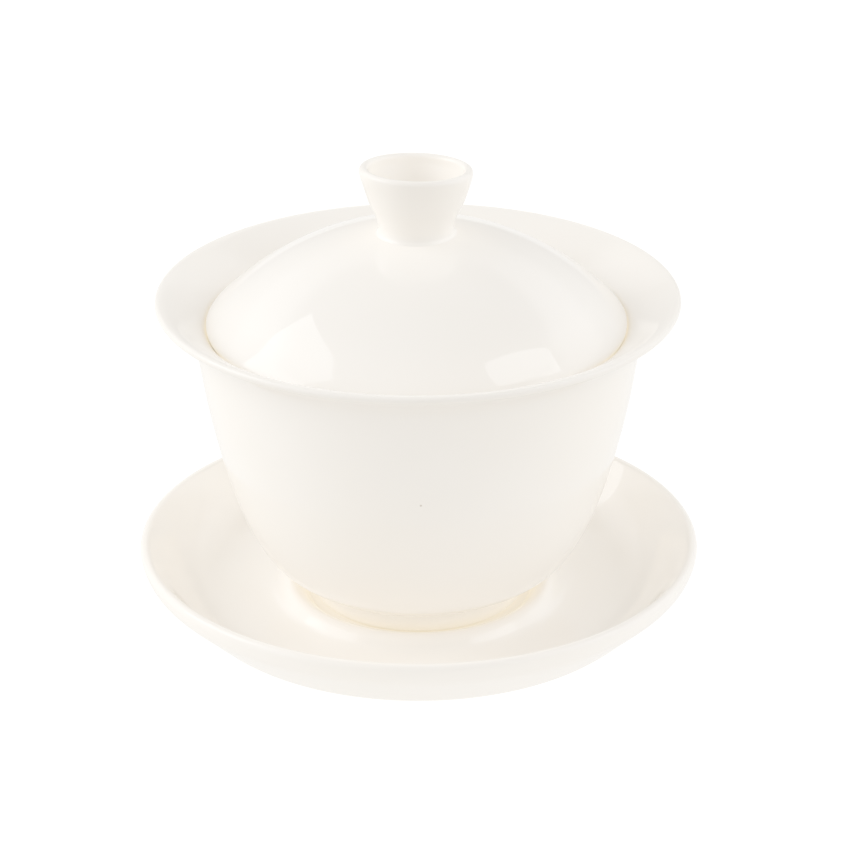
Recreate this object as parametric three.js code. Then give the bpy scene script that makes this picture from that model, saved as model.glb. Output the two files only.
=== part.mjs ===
// A gaiwan: a lidded porcelain tea bowl standing in the well of its saucer.
// Millimetres, +Z up. The origin is on the table, under the axis that the three pieces share.
// Each piece is turned from one outline of (radius, height) points, so it is a single closed body.
import * as THREE from "three";

// Driving dimensions. A radius is measured from the axis, and a height from the table.
const FACETS = 40; // flat facets round a turned piece
const CLEARANCE = 0.3; // gap kept where one piece rests in another
const WALL = 2.2; // thickness of the bowl and of the lid

const SAUCER_RADIUS = 54.8;
const SAUCER_HEIGHT = 17.1;
const SAUCER_LIP = 1.05; // radius of the rounded lip
const SAUCER_FOOT_RADIUS = 33.8;
const SAUCER_FOOT_WIDTH = 2.8;
const SAUCER_RECESS = 2.5; // height of the underside inside the foot ring
const SAUCER_BASE = 3.3; // height of the flat underside outside the foot ring
const KNEE_RADIUS = 44.4; // where the flat underside turns up into the flank
const WELL_RADIUS = 21.9; // flat part of the well that the bowl stands in
const WELL_FLOOR = 5.5;
const RIDGE_RADIUS = 25.2; // crest of the low ridge round the well
const RIDGE_HEIGHT = 8.1;
const DISH_FLOOR = 5.5; // height of the dish outside the ridge

const BOWL_RADIUS = 50; // outermost edge of the rim
const BOWL_RIM_HEIGHT = 68.3;
const BOWL_LIP = 0.7; // radius of the rounded lip
const BOWL_FOOT_RADIUS = 20.7;
const BOWL_FOOT_WIDTH = 2.4;
const BOWL_FOOT_HEIGHT = 5;
const BOWL_BELLY = 24.7; // radius where the body turns in to the foot
const BOWL_FLOOR = 3.2; // thickness of the floor above the foot recess
const NECK_RADIUS = 42.4; // outside of the body, just under the flared rim
const NECK_HEIGHT = 58;
// The outside of the body between belly and neck: radius and height, from the bottom up.
const BODY = [
  [33.1, 20.7],
  [36.4, 29.4],
  [39.2, 39.9],
  [41.1, 49.5],
];

const DOME_RADIUS = 54.2; // sphere that the outside of the lid follows
const DOME_TOP = 81; // height of that sphere's top, hidden under the knob
const LID_RADIUS = 40.3;
const LID_LIP = 1.2; // radius of the lid's rounded edge
const KNOB_HEIGHT = 94.2;
const KNOB_RADIUS = 10.75;
const KNOB_WAIST = 7.1; // radius just above the lid
const KNOB_WALL = 1.7;
const KNOB_RECESS_FLOOR = 84;

// Derived places
const BOWL_BASE = WELL_FLOOR + CLEARANCE;
const DOME_CENTRE = DOME_TOP - DOME_RADIUS;

// One point of an outline.
function at(radius, height) {
  return new THREE.Vector2(radius, height);
}

// Points along a smooth curve through a few given points.
function smooth(points, steps) {
  return new THREE.SplineCurve(points).getPoints(steps);
}

// Points along an arc about a centre, from one angle to another in degrees. An angle of 0 points away from
// the axis and 90 points up.
function arc(centre, radius, from, to, steps) {
  return Array.from({ length: steps + 1 }, (unused, i) => {
    const angle = THREE.MathUtils.degToRad(from + ((to - from) * i) / steps);
    return at(centre.x + radius * Math.cos(angle), centre.y + radius * Math.sin(angle));
  });
}

// The height of a sphere about the axis, at a given radius.
function domeHeight(sphereRadius, radius) {
  return DOME_CENTRE + Math.sqrt(sphereRadius ** 2 - radius ** 2);
}

// The underside of a piece that stands on a foot ring: a flat recess, then the ring's inner side, its flat
// bottom and its rounded outer corner.
function footRing(radius, width, base, recess) {
  const inner = radius - width;
  const corner = 0.5;
  return [
    at(0, recess),
    at(inner - 1.4, recess),
    at(inner - 0.4, recess - 0.4),
    at(inner, base + corner),
    at(inner + corner, base),
    at(radius - corner, base),
    at(radius, base + corner),
  ];
}

// One closed body, turned about the Z axis from its outline.
function turned(name, outline, colour) {
  const geometry = new THREE.LatheGeometry(outline, FACETS);
  geometry.rotateX(Math.PI / 2);
  const material = new THREE.MeshStandardMaterial({ color: colour, roughness: 0.12, metalness: 0 });
  const mesh = new THREE.Mesh(geometry, material);
  mesh.name = name;
  return mesh;
}

// The saucer: a foot ring under a flat base, a flank that flares up to a rounded lip, a shallow dish, and a
// low ridge round the flat well.
function saucer() {
  const lip = at(SAUCER_RADIUS - SAUCER_LIP, SAUCER_HEIGHT - SAUCER_LIP);
  const underside = [
    at(SAUCER_FOOT_RADIUS + 0.3, SAUCER_BASE - 0.6),
    at(SAUCER_FOOT_RADIUS + 0.9, SAUCER_BASE),
  ];
  const flank = smooth(
    [
      at(KNEE_RADIUS - 3.4, SAUCER_BASE + 0.1),
      at(KNEE_RADIUS, SAUCER_BASE + 0.9),
      at(KNEE_RADIUS + 4.7, SAUCER_BASE + 5.2),
      at(SAUCER_RADIUS - 1.2, SAUCER_HEIGHT - 4.2),
      at(SAUCER_RADIUS - 0.1, SAUCER_HEIGHT - 1.7),
    ],
    9,
  );
  const dish = smooth(
    [
      at(SAUCER_RADIUS - 1.9, SAUCER_HEIGHT - 0.4),
      at(SAUCER_RADIUS - 3.6, SAUCER_HEIGHT - 2.4),
      at(KNEE_RADIUS + 2.6, DISH_FLOOR + 3.9),
      at(KNEE_RADIUS - 2.4, DISH_FLOOR + 0.8),
      at(RIDGE_RADIUS + 9, DISH_FLOOR),
      at(RIDGE_RADIUS + 5, DISH_FLOOR + 0.1),
      at(RIDGE_RADIUS + 3.2, DISH_FLOOR + 0.6),
      at(RIDGE_RADIUS + 1.5, RIDGE_HEIGHT - 0.5),
      at(RIDGE_RADIUS, RIDGE_HEIGHT),
      at(RIDGE_RADIUS - 1.6, RIDGE_HEIGHT - 0.7),
      at(WELL_RADIUS + 0.5, WELL_FLOOR + 0.6),
      at(WELL_RADIUS, WELL_FLOOR),
    ],
    28,
  );
  const outline = [
    ...footRing(SAUCER_FOOT_RADIUS, SAUCER_FOOT_WIDTH, 0, SAUCER_RECESS),
    ...underside,
    ...flank,
    ...arc(lip, SAUCER_LIP, 5, 125, 4),
    ...dish,
    at(0, WELL_FLOOR),
  ];
  return turned("saucer", outline, 0xf6f1e8);
}

// The bowl: a foot ring, a round body that is nearly upright at the neck, and a flared rim. The lid rests on
// the inside of the flare.
function bowl() {
  const footTop = BOWL_BASE + BOWL_FOOT_HEIGHT;
  const lip = at(BOWL_RADIUS - BOWL_LIP, BOWL_RIM_HEIGHT - BOWL_LIP);
  const body = smooth(
    [
      at(BOWL_BELLY, footTop + 0.7),
      at(BOWL_BELLY + 4.4, footTop + 3.9),
      ...BODY.map(([radius, height]) => at(radius, height)),
      at(NECK_RADIUS, NECK_HEIGHT),
      at(NECK_RADIUS + 1.2, NECK_HEIGHT + 4),
      at(NECK_RADIUS + 3.6, NECK_HEIGHT + 7.2),
      at(BOWL_RADIUS - 0.4, BOWL_RIM_HEIGHT - 1.4),
    ],
    16,
  );
  const recess = footTop - 0.4;
  const floor = recess + BOWL_FLOOR;
  const inside = smooth(
    [
      at(BOWL_RADIUS - 1.2, BOWL_RIM_HEIGHT - 0.1),
      at(NECK_RADIUS + 2.6, NECK_HEIGHT + 8.2),
      at(NECK_RADIUS - 1.2, NECK_HEIGHT + 4.9),
      at(NECK_RADIUS - 2.9, NECK_HEIGHT + 1),
      ...BODY.map(([radius, height]) => at(radius - WALL, height)).reverse(),
      at(BOWL_BELLY - 1.4, floor + 1.3),
      at(BOWL_BELLY - 9, floor),
    ],
    14,
  );
  const outline = [
    ...footRing(BOWL_FOOT_RADIUS, BOWL_FOOT_WIDTH, BOWL_BASE, recess),
    at(BOWL_FOOT_RADIUS + 0.4, footTop - 0.9),
    at(BOWL_FOOT_RADIUS + 1.4, footTop - 0.1),
    at(BOWL_BELLY - 0.9, footTop + 0.15),
    ...body,
    ...arc(lip, BOWL_LIP, 0, 110, 3),
    ...inside,
    at(0, floor),
  ];
  return turned("bowl", outline, 0xf5efe5);
}

// The lid: a dome with a rounded edge, and a hollow knob that flares upwards, made in one with it.
function lid() {
  const edge = at(LID_RADIUS - LID_LIP, domeHeight(DOME_RADIUS - LID_LIP, LID_RADIUS - LID_LIP));
  const slope = THREE.MathUtils.radToDeg(Math.acos(edge.x / (DOME_RADIUS - LID_LIP)));
  const inner = DOME_RADIUS - WALL;
  const under = arc(at(0, DOME_CENTRE), inner, 90, slope, 8);
  const over = arc(at(0, DOME_CENTRE), DOME_RADIUS, slope, 82, 9);
  const knobLip = at(KNOB_RADIUS - KNOB_WALL / 2, KNOB_HEIGHT - KNOB_WALL / 2);
  const flare = smooth(
    [
      at(KNOB_WAIST + 0.55, domeHeight(DOME_RADIUS, KNOB_WAIST) + 0.1),
      at(KNOB_WAIST, domeHeight(DOME_RADIUS, KNOB_WAIST) + 0.9),
      at(KNOB_WAIST + 0.75, KNOB_HEIGHT - 9.8),
      at(KNOB_WAIST + 2, KNOB_HEIGHT - 6.8),
      at(KNOB_RADIUS - 0.05, KNOB_HEIGHT - 1.2),
    ],
    7,
  );
  const recess = smooth(
    [
      at(KNOB_RADIUS - KNOB_WALL, KNOB_HEIGHT - 1.3),
      at(KNOB_WAIST + 0.6, KNOB_HEIGHT - 5.5),
      at(KNOB_WAIST - 0.7, KNOB_RECESS_FLOOR + 1.2),
      at(KNOB_WAIST - 1.7, KNOB_RECESS_FLOOR),
    ],
    6,
  );
  const outline = [
    ...under,
    ...arc(edge, LID_LIP, slope - 180, slope, 6).slice(1, -1),
    ...over,
    ...flare,
    ...arc(knobLip, KNOB_WALL / 2, 20, 160, 4),
    ...recess,
    at(0, KNOB_RECESS_FLOOR),
  ];
  return turned("lid", outline, 0xf5f0e7);
}

const gaiwan = new THREE.Group();
gaiwan.add(saucer(), bowl(), lid());

export default gaiwan;
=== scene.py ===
"""A porcelain gaiwan: a lidded tea bowl on its saucer.

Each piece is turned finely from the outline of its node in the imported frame, and gets a glazed porcelain
material. Everything is in metres, in the frame's own axes: +Z up, and the origin on the table under the
pieces' shared axis.
"""

import math

import bpy
import numpy as np
from mathutils import Matrix, Vector


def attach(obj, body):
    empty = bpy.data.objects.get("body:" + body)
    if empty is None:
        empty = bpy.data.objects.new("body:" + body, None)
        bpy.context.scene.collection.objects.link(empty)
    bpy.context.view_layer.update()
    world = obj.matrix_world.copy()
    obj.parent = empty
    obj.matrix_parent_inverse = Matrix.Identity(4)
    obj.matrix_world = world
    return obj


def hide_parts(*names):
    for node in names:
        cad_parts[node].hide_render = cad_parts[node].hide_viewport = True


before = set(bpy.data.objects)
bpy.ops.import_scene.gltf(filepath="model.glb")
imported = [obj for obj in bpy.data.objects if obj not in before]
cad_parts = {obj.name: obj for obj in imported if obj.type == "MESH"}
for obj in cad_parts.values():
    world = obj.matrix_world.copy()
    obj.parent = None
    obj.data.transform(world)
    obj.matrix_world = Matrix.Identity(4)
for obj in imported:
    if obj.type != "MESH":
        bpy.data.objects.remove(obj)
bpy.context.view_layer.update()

MM = 0.001

# Turning
SEGMENTS = 160  # facets round a piece
FINE = 0.05 * MM  # spacing of an outline's points while it is being smoothed
LONG_EDGE = 8 * MM  # an outline edge longer than this is flat, and stays straight
CORNER = math.radians(40)  # a turn sharper than this stays a corner
SOFTENING = 0.14 * MM  # how far the glaze rounds the corners
LONGEST_STEP = 1.2 * MM  # spacing of the finished outline's points where it is straightest
LARGEST_TURN = math.radians(4)  # and where it bends

# What the potter's hand and the kiln did to the pieces
KNOB_TILT = math.radians(4.2)  # the knob's rim leans
KNOB_LOW_SIDE = math.radians(68)  # towards the back, and a little to the right
KNOB_TILT_FROM = 83 * MM
KNOB_TILT_FULL = 91 * MM
LID_OFFSET = Vector((-0.3, 0, 0)) * MM  # the lid doesn't lie quite in the middle of the bowl
SEAT_GAP = 0.4 * MM  # the lid's edge rests on the bowl's inside, where the CAD leaves a gap
SEAT_HEIGHTS = (57 * MM, 61.8 * MM, 66.5 * MM)  # where that starts, is fullest and ends
RIM_SAG = 0.3 * MM  # the bowl's rim is lower at the back
RIM_HEIGHTS = (48 * MM, 68 * MM)  # where the rim's irregularity starts, and where it is full
RIM_RADIUS = 50 * MM
OVALITY = 0.12 * MM  # of the bowl's rim, and the waviness of the saucer's
BOWL_LONG_WAY = 0.25  # the direction in which the bowl's rim is widest, in radians from the right
SAUCER_LOW_SIDE = -0.3  # the direction in which the saucer's rim is lowest
SAUCER_EDGE = (38 * MM, 54 * MM)  # where its waviness starts, and where it is full

# Camera: in front of the gaiwan and above it, with a long lens
CAMERA_AIM = Vector((1.28, 0, 40.4)) * MM
CAMERA_DISTANCE = 597.4 * MM
CAMERA_ELEVATION = math.radians(24.47)
CAMERA_ROLL = math.radians(-0.118)
CAMERA_LENS = 130.15  # in mm, as Blender takes it
CAMERA_SENSOR = 36
CAMERA_CLIP = (0.05, 20)

# Glaze and clay. Clouds and grain are given as (features in a metre, octaves of detail)
GLAZE_IOR = 1.5
GLAZE_COLOURS = ((0.955, 0.887, 0.784, 1), (0.965, 0.904, 0.814, 1))
COLOUR_CLOUDS = (30, 3)
GLAZE_ROUGHNESS = (0.035, 0.07)
GLOSS_CLOUDS = (60, 2)
CLOUD_EDGES = (0.3, 0.7)  # the noise values between which a cloud goes from one look to the other
UNEVENNESS = (120, 1)  # the glaze's fine waves
UNEVENNESS_HEIGHT = 0.015 * MM
UNEVENNESS_STRENGTH = 0.3
PAINTED_GLOW = 0.15  # painted glow: warm emission in narrow hollows, standing in for light that comes through the thin porcelain
PAINTED_GLOW_COLOUR = (1, 0.78, 0.4, 1)
PAINTED_GLOW_REACH = 6 * MM
PAINTED_GLOW_OPENNESS = (0.02, 0.55)  # where the painted glow is full, and where it ends
PAINTED_GLOW_SAMPLES = 4
GLAZE_EDGE = 0.15 * MM  # how softly the glaze ends at the bare clay
CLAY_COLOURS = ((0.72, 0.66, 0.57, 1), (0.84, 0.79, 0.71, 1))
CLAY_GRAIN = (2500, 2)
CLAY_ROUGHNESS = 0.75
SAUCER_BARE_BELOW = 0.6 * MM  # the clay is bare up to here, under the foot ring
BOWL_BARE_BELOW = 6.4 * MM
LID_BARE_BELOW = 0  # the lid is glazed all over
PINHOLE = (0.12 * MM, 0.3 * MM)  # radius of the pore, and of its soft edge
PINHOLE_COLOUR = (0.45, 0.36, 0.25, 1)
BOWL_PINHOLE = Vector((0.5, -39.7, 42.3)) * MM

# Studio light, as radiance
FLOOR_HALF_WIDTH = 4
FLOOR_SURFACE_COLOUR = (0.25, 0.24, 0.22, 1)
FLOOR_ROUGHNESS = 0.8
FLOOR_COLOUR = (1, 0.985, 0.95, 1)
FLOOR_WHITE = 0.95  # as the camera sees it
FLOOR_GLOW = 0.66
FRONT_FLOOR_GLOW = 0.03
FRONT_FLOOR = (-170 * MM, -90 * MM)  # where the floor in front is at its dimmest, and where that starts
WALL = 0.77  # the walls all round
SIDE_WALL = 2.15  # more at the sides
BACK_WALL = 0.09  # more at the back, and as much less in front
WALL_COLOUR = (1, 0.95, 0.87, 1)
SIDE_WALL_COLOUR = (1, 1, 1, 1)
SIDE_WALL_FROM = 0.4  # where the side wall's colour is full, as the square of the direction's sideways part
# Pairs of an elevation in degrees and the walls' level there
WALL_BY_HEIGHT = ((0, 0.5), (18, 0.62), (26, 1), (38, 0.97), (48, 0.08), (70, 0))
SOFTBOX_DISTANCE = 0.9
# Azimuth, elevation and roll in degrees, width and height, and radiance
SOFTBOXES = {
    "left_softbox": (-93, 41, 12, 0.52, 0.62, 2.5),
    "right_softbox": (84, 52.5, -38, 0.45, 0.18, 2.5),
}
VIEW_GAMMA = 2.5


# ---------------------------------------------------------------- outlines


def cad_outline(node):
    """A turned CAD node's outline, as (radius, height), from its underside's centre to its top's centre."""
    micron = 0.001 * MM
    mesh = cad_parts[node].data
    places = [tuple(round(c / micron) for c in vertex.co) for vertex in mesh.vertices]
    neighbours = {}
    for edge in mesh.edges:
        a, b = (places[i] for i in edge.vertices)
        if a != b and all(abs(y) <= 10 and x >= -10 for x, y, z in (a, b)):
            neighbours.setdefault(a, set()).add(b)
            neighbours.setdefault(b, set()).add(a)
    on_axis = sorted((p for p in neighbours if abs(p[0]) <= 10), key=lambda p: p[2])
    path = [on_axis[0]]
    while path[-1] != on_axis[-1]:
        path.append(next(p for p in neighbours[path[-1]] if p not in path))
    return np.array([(x, z) for x, y, z in path]) * micron


def spline(points):
    """Points every FINE along a cubic spline through the given ones, so that the curvature is continuous."""
    steps = np.linalg.norm(np.diff(points, axis=0), axis=1)
    knots = np.concatenate([[0], np.cumsum(steps)])
    along = np.linspace(0, knots[-1], max(2, round(knots[-1] / FINE)))
    if len(points) == 2:
        return points[0] + np.outer(along / knots[-1], points[1] - points[0])
    slopes = np.diff(points, axis=0) / steps[:, None]
    system = np.zeros((len(points), len(points)))
    right = np.zeros((len(points), 2))
    for i in range(1, len(points) - 1):
        system[i, i - 1 : i + 2] = steps[i - 1], 2 * (steps[i - 1] + steps[i]), steps[i]
        right[i] = 6 * (slopes[i] - slopes[i - 1])
    system[0, :2] = system[-1, -2:] = 1, -1
    bend = np.linalg.solve(system, right)
    i = np.clip(np.searchsorted(knots, along) - 1, 0, len(steps) - 1)
    h, t = steps[i, None], (along - knots[i])[:, None]
    start = slopes[i] - h * (2 * bend[i] + bend[i + 1]) / 6
    return points[i] + t * start + t**2 * bend[i] / 2 + t**3 * (bend[i + 1] - bend[i]) / (6 * h)


def softened(points):
    """The outline, its corners rounded by SOFTENING. It is carried on past the axis, where its ends stay."""
    reach = round(4 * SOFTENING / FINE)
    beyond = points * (-1, 1)
    carried_on = np.vstack([beyond[reach:0:-1], points, beyond[-2 : -reach - 2 : -1]])
    kernel = np.exp(-0.5 * (np.arange(-reach, reach + 1) * FINE / SOFTENING) ** 2)
    return np.column_stack([np.convolve(c, kernel / kernel.sum(), "valid") for c in carried_on.T])


def thinned(points):
    """The outline with only the points that its bends need."""
    headings = np.unwrap(np.arctan2(*np.diff(points, axis=0).T[::-1]))
    kept = [0]
    for i in range(1, len(points) - 1):
        turned = abs(headings[i] - headings[kept[-1]])
        if turned > LARGEST_TURN or (i - kept[-1]) * FINE > LONGEST_STEP:
            kept.append(i)
    return points[kept + [len(points) - 1]]


def fine_outline(node):
    """A node's outline, smooth between its corners and its flats."""
    points = cad_outline(node)
    edges = np.diff(points, axis=0)
    lengths = np.linalg.norm(edges, axis=1)
    headings = np.arctan2(edges[:, 1], edges[:, 0])
    turns = np.abs((np.diff(headings) + math.pi) % (2 * math.pi) - math.pi)
    breaks = [0]
    for i in range(1, len(points) - 1):
        if turns[i - 1] > CORNER or lengths[i - 1] > LONG_EDGE or lengths[i] > LONG_EDGE:
            breaks.append(i)
    breaks.append(len(points) - 1)
    stretches = [spline(points[a : b + 1]) for a, b in zip(breaks, breaks[1:])]
    whole = np.vstack([stretches[0], *(s[1:] for s in stretches[1:])])
    whole[[0, -1], 0] = 0
    return thinned(softened(whole))


# ---------------------------------------------------------------- turned pieces


def rise(value, low, high):
    """0 below low, 1 above high, and smooth between."""
    t = np.clip((value - low) / (high - low), 0, 1)
    return t * t * (3 - 2 * t)


def as_saucer(points):
    """The saucer's small irregularity: its rim is a little wavy, and never higher than it was turned."""
    angle = np.arctan2(points[..., 1], points[..., 0])
    edge = rise(np.hypot(points[..., 0], points[..., 1]), *SAUCER_EDGE)
    points[..., 2] -= OVALITY * edge * (1 + np.cos(2 * (angle - SAUCER_LOW_SIDE))) / 2
    return points


def as_bowl(points):
    """The bowl as it is: a slightly oval rim, lower at the back, and an inside that meets the lid's edge."""
    angle = np.arctan2(points[..., 1], points[..., 0])
    inside = np.arange(len(points))[:, None] > points[:, :1, 2].argmax()
    low, top, high = SEAT_HEIGHTS
    seat = inside * rise(points[..., 2], low, top) * (1 - rise(points[..., 2], top, high))
    inwards = seat * (SEAT_GAP - LID_OFFSET.x * np.cos(angle))
    points[..., :2] *= (1 - inwards / np.maximum(np.hypot(points[..., 0], points[..., 1]), MM))[..., None]
    upper = rise(points[..., 2], *RIM_HEIGHTS)
    points[..., :2] *= 1 + (OVALITY / RIM_RADIUS * upper * np.cos(2 * (angle - BOWL_LONG_WAY)))[..., None]
    points[..., 2] -= RIM_SAG * upper * (1 + np.sin(angle)) / 2
    return points


def as_lid(points):
    """The lid's small irregularities: its knob's rim leans, and the lid lies off the bowl's middle."""
    crest = np.linalg.norm(points[points[..., 2].argmax(axis=0)[0], 0, :2])
    upper = rise(points[..., 2], KNOB_TILT_FROM, KNOB_TILT_FULL)
    across = points[..., 0] * math.cos(KNOB_LOW_SIDE) + points[..., 1] * math.sin(KNOB_LOW_SIDE)
    points[..., 2] -= math.tan(KNOB_TILT) * upper * (across + crest)
    return points + np.array(LID_OFFSET)


def turned_piece(node, body, shape, material):
    """A finely turned piece for a CAD node. shape moves its grid of points to where the real piece is."""
    outline = fine_outline(node)
    angles = np.linspace(0, 2 * math.pi, SEGMENTS, endpoint=False)
    radii, heights = (np.repeat(c[:, None], SEGMENTS, axis=1) for c in outline.T)
    grid = shape(np.dstack([radii * np.cos(angles), radii * np.sin(angles), heights]))

    travel = np.concatenate([[0], np.cumsum(np.linalg.norm(np.diff(outline, axis=0), axis=1))])
    around = np.roll(grid, -1, axis=1) - np.roll(grid, 1, axis=1)
    normals = np.cross(around, np.gradient(grid, travel, axis=0))
    normals[0], normals[-1] = normals[1].mean(axis=0), normals[-2].mean(axis=0)
    normals /= np.linalg.norm(normals, axis=2, keepdims=True)

    rings = len(outline) - 2
    vertices = [grid[0, 0], *grid[1:-1].reshape(-1, 3), grid[-1, 0]]
    vertex_normals = [normals[0, 0], *normals[1:-1].reshape(-1, 3), normals[-1, 0]]
    last = len(vertices) - 1
    faces = []
    for j in range(SEGMENTS):
        k = (j + 1) % SEGMENTS
        faces.append((0, 1 + k, 1 + j))
        for i in range(rings - 1):
            low, high = 1 + i * SEGMENTS, 1 + (i + 1) * SEGMENTS
            faces.append((low + j, low + k, high + k, high + j))
        low = 1 + (rings - 1) * SEGMENTS
        faces.append((low + j, low + k, last))
    mesh = bpy.data.meshes.new(node)
    mesh.from_pydata([tuple(v) for v in vertices], [], faces)
    mesh.shade_smooth()
    mesh.normals_split_custom_set_from_vertices([tuple(n) for n in vertex_normals])
    mesh.materials.append(material)
    piece = bpy.data.objects.new("porcelain_" + node, mesh)
    bpy.context.scene.collection.objects.link(piece)
    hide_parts(node)
    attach(piece, body)


# ---------------------------------------------------------------- materials


def link(tree, value, socket):
    """Set a node's input to a number, a colour or another node's output."""
    if isinstance(value, bpy.types.NodeSocket):
        tree.links.new(value, socket)
    else:
        socket.default_value = value


def map_range(tree, value, source, target):
    """A node that takes a value from the source range to the target range, smoothly, and no further."""
    node = tree.nodes.new("ShaderNodeMapRange")
    node.interpolation_type = "SMOOTHSTEP"
    node.inputs["From Min"].default_value, node.inputs["From Max"].default_value = source
    node.inputs["To Min"].default_value, node.inputs["To Max"].default_value = target
    tree.links.new(value, node.inputs["Value"])
    return node.outputs["Result"]


def mix(tree, data_type, factor, first, second):
    """A node that blends two numbers or two colours."""
    node = tree.nodes.new("ShaderNodeMix")
    node.data_type = data_type
    sockets = [socket for socket in node.inputs if socket.enabled]
    for socket, value in zip(sockets, (factor, first, second)):
        link(tree, value, socket)
    return next(socket for socket in node.outputs if socket.enabled)


def noise(tree, place, scale, detail):
    """A node that varies from place to place, about scale times in a metre, with octaves of finer detail."""
    node = tree.nodes.new("ShaderNodeTexNoise")
    node.inputs["Scale"].default_value = scale
    node.inputs["Detail"].default_value = detail
    tree.links.new(place, node.inputs["Vector"])
    return node.outputs["Fac"]


def porcelain(name, bare_below, pinhole=None):
    """Glossy ivory glaze, with a painted warm glow in narrow hollows. The clay is bare up to a height, and
    the glaze may have a pinhole in it.
    """
    material = bpy.data.materials.new(name)
    material.use_nodes = True
    tree = material.node_tree
    shader = tree.nodes["Principled BSDF"]
    shader.inputs["IOR"].default_value = GLAZE_IOR
    place = tree.nodes.new("ShaderNodeTexCoord").outputs["Object"]

    clouds = map_range(tree, noise(tree, place, *COLOUR_CLOUDS), CLOUD_EDGES, (0, 1))
    glaze = mix(tree, "RGBA", clouds, *GLAZE_COLOURS)
    if pinhole:
        away = tree.nodes.new("ShaderNodeVectorMath")
        away.operation = "DISTANCE"
        away.inputs[1].default_value = pinhole
        tree.links.new(place, away.inputs[0])
        open_pore = map_range(tree, away.outputs["Value"], PINHOLE, (1, 0))
        glaze = mix(tree, "RGBA", open_pore, glaze, PINHOLE_COLOUR)
    axes = tree.nodes.new("ShaderNodeSeparateXYZ")
    tree.links.new(place, axes.inputs["Vector"])
    bare = map_range(tree, axes.outputs["Z"], (bare_below - GLAZE_EDGE, bare_below + GLAZE_EDGE), (1, 0))
    grain = mix(tree, "RGBA", noise(tree, place, *CLAY_GRAIN), *CLAY_COLOURS)
    link(tree, mix(tree, "RGBA", bare, glaze, grain), shader.inputs["Base Color"])

    gloss = map_range(tree, noise(tree, place, *GLOSS_CLOUDS), CLOUD_EDGES, GLAZE_ROUGHNESS)
    link(tree, mix(tree, "FLOAT", bare, gloss, CLAY_ROUGHNESS), shader.inputs["Roughness"])
    # Painted glow: warm emission where nearby surfaces hem the glaze in, standing in for light through the
    # thin porcelain
    hollow = tree.nodes.new("ShaderNodeAmbientOcclusion")
    hollow.samples = PAINTED_GLOW_SAMPLES
    hollow.inputs["Distance"].default_value = PAINTED_GLOW_REACH
    glow = map_range(tree, hollow.outputs["AO"], PAINTED_GLOW_OPENNESS, (PAINTED_GLOW, 0))
    link(tree, glow, shader.inputs["Emission Strength"])
    shader.inputs["Emission Color"].default_value = PAINTED_GLOW_COLOUR

    bump = tree.nodes.new("ShaderNodeBump")
    bump.inputs["Strength"].default_value = UNEVENNESS_STRENGTH
    bump.inputs["Distance"].default_value = UNEVENNESS_HEIGHT
    link(tree, noise(tree, place, *UNEVENNESS), bump.inputs["Height"])
    link(tree, bump.outputs["Normal"], shader.inputs["Normal"])
    return material


# ---------------------------------------------------------------- studio


def white_floor():
    """A wide white floor. It lights the gaiwan less than it shows, and least from in front."""
    half = FLOOR_HALF_WIDTH
    corners = [(x, y, 0) for x, y in ((-half, -half), (half, -half), (half, half), (-half, half))]
    mesh = bpy.data.meshes.new("floor")
    mesh.from_pydata(corners, [], [(0, 1, 2, 3)])
    floor = bpy.data.objects.new("floor", mesh)
    bpy.context.scene.collection.objects.link(floor)
    material = bpy.data.materials.new("floor")
    material.use_nodes = True
    tree = material.node_tree
    shader = tree.nodes["Principled BSDF"]
    shader.inputs["Base Color"].default_value = FLOOR_SURFACE_COLOUR
    shader.inputs["Roughness"].default_value = FLOOR_ROUGHNESS
    shader.inputs["Specular IOR Level"].default_value = 0
    shader.inputs["Emission Color"].default_value = FLOOR_COLOUR
    coordinates = tree.nodes.new("ShaderNodeTexCoord")
    axes = tree.nodes.new("ShaderNodeSeparateXYZ")
    tree.links.new(coordinates.outputs["Object"], axes.inputs["Vector"])
    glow = map_range(tree, axes.outputs["Y"], FRONT_FLOOR, (FRONT_FLOOR_GLOW, FLOOR_GLOW))
    seen = tree.nodes.new("ShaderNodeLightPath").outputs["Is Camera Ray"]
    link(tree, mix(tree, "FLOAT", seen, glow, FLOOR_WHITE), shader.inputs["Emission Strength"])
    mesh.materials.append(material)


def softbox(name, azimuth, elevation, roll, width, height, radiance):
    """A rectangular light that faces the gaiwan. It is in front at azimuth 0, and on the right at 90."""
    light = bpy.data.lights.new(name, "AREA")
    light.shape = "RECTANGLE"
    light.size, light.size_y = width, height
    light.energy = radiance * math.pi * width * height
    lamp = bpy.data.objects.new(name, light)
    swing = Matrix.Rotation(math.radians(azimuth), 4, "Z")
    tilt = Matrix.Rotation(math.radians(90 - elevation), 4, "X")
    away = Matrix.Translation((0, 0, SOFTBOX_DISTANCE))
    lamp.matrix_world = swing @ tilt @ away @ Matrix.Rotation(math.radians(roll), 4, "Z")
    lamp.visible_camera = False
    bpy.context.scene.collection.objects.link(lamp)


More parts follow.
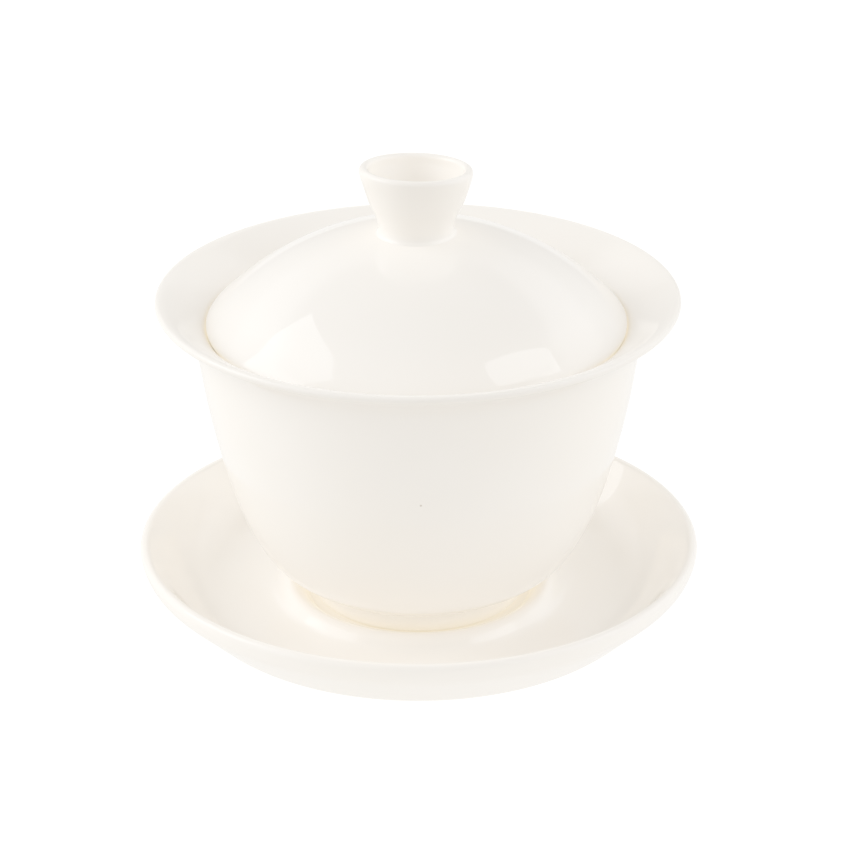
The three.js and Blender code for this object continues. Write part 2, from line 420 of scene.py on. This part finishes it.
def surroundings():
    """A studio that is brightest halfway up its white side walls, warmer between them, and dark overhead."""
    world = bpy.data.worlds.new("studio")
    bpy.context.scene.world = world
    world.use_nodes = True
    tree = world.node_tree
    coordinates = tree.nodes.new("ShaderNodeTexCoord")
    axes = tree.nodes.new("ShaderNodeSeparateXYZ")
    tree.links.new(coordinates.outputs["Generated"], axes.inputs["Vector"])

    def math_node(operation, *values):
        node = tree.nodes.new("ShaderNodeMath")
        node.operation = operation
        for socket, value in zip(node.inputs, values):
            link(tree, value, socket)
        return node.outputs["Value"]

    sideways = math_node("MULTIPLY", axes.outputs["X"], axes.outputs["X"])
    wall = math_node("MULTIPLY_ADD", sideways, SIDE_WALL, WALL)
    wall = math_node("MULTIPLY_ADD", axes.outputs["Y"], BACK_WALL, wall)
    height = tree.nodes.new("ShaderNodeValToRGB")
    height.color_ramp.interpolation = "EASE"
    tree.links.new(axes.outputs["Z"], height.inputs["Fac"])
    for _ in range(len(WALL_BY_HEIGHT) - 2):
        height.color_ramp.elements.new(0.5)
    for element, (elevation, level) in zip(height.color_ramp.elements, WALL_BY_HEIGHT):
        element.position = math.sin(math.radians(elevation))
        element.color = (level, level, level, 1)
    background = tree.nodes["Background"]
    whiteness = map_range(tree, sideways, (0, SIDE_WALL_FROM), (0, 1))
    link(tree, mix(tree, "RGBA", whiteness, WALL_COLOUR, SIDE_WALL_COLOUR), background.inputs["Color"])
    tree.links.new(math_node("MULTIPLY", wall, height.outputs["Color"]), background.inputs["Strength"])


def camera():
    """The camera, in front of the gaiwan and above it."""
    data = bpy.data.cameras.new("camera")
    data.sensor_width = CAMERA_SENSOR
    data.lens = CAMERA_LENS
    data.clip_start, data.clip_end = CAMERA_CLIP
    made = bpy.data.objects.new("camera", data)
    tilt = Matrix.Rotation(math.pi / 2 - CAMERA_ELEVATION, 4, "X") @ Matrix.Rotation(CAMERA_ROLL, 4, "Z")
    made.matrix_world = Matrix.Translation(CAMERA_AIM) @ tilt @ Matrix.Translation((0, 0, CAMERA_DISTANCE))
    bpy.context.scene.collection.objects.link(made)
    bpy.context.scene.camera = made


saucer_glaze = porcelain("saucer_glaze", SAUCER_BARE_BELOW)
bowl_glaze = porcelain("bowl_glaze", BOWL_BARE_BELOW, BOWL_PINHOLE)
lid_glaze = porcelain("lid_glaze", LID_BARE_BELOW)
turned_piece("saucer", "saucer", as_saucer, saucer_glaze)
turned_piece("bowl", "bowl", as_bowl, bowl_glaze)
turned_piece("lid", "lid", as_lid, lid_glaze)

white_floor()
surroundings()
for softbox_name, placed in SOFTBOXES.items():
    softbox(softbox_name, *placed)
camera()
bpy.context.scene.view_settings.view_transform = "Standard"
bpy.context.scene.view_settings.gamma = VIEW_GAMMA
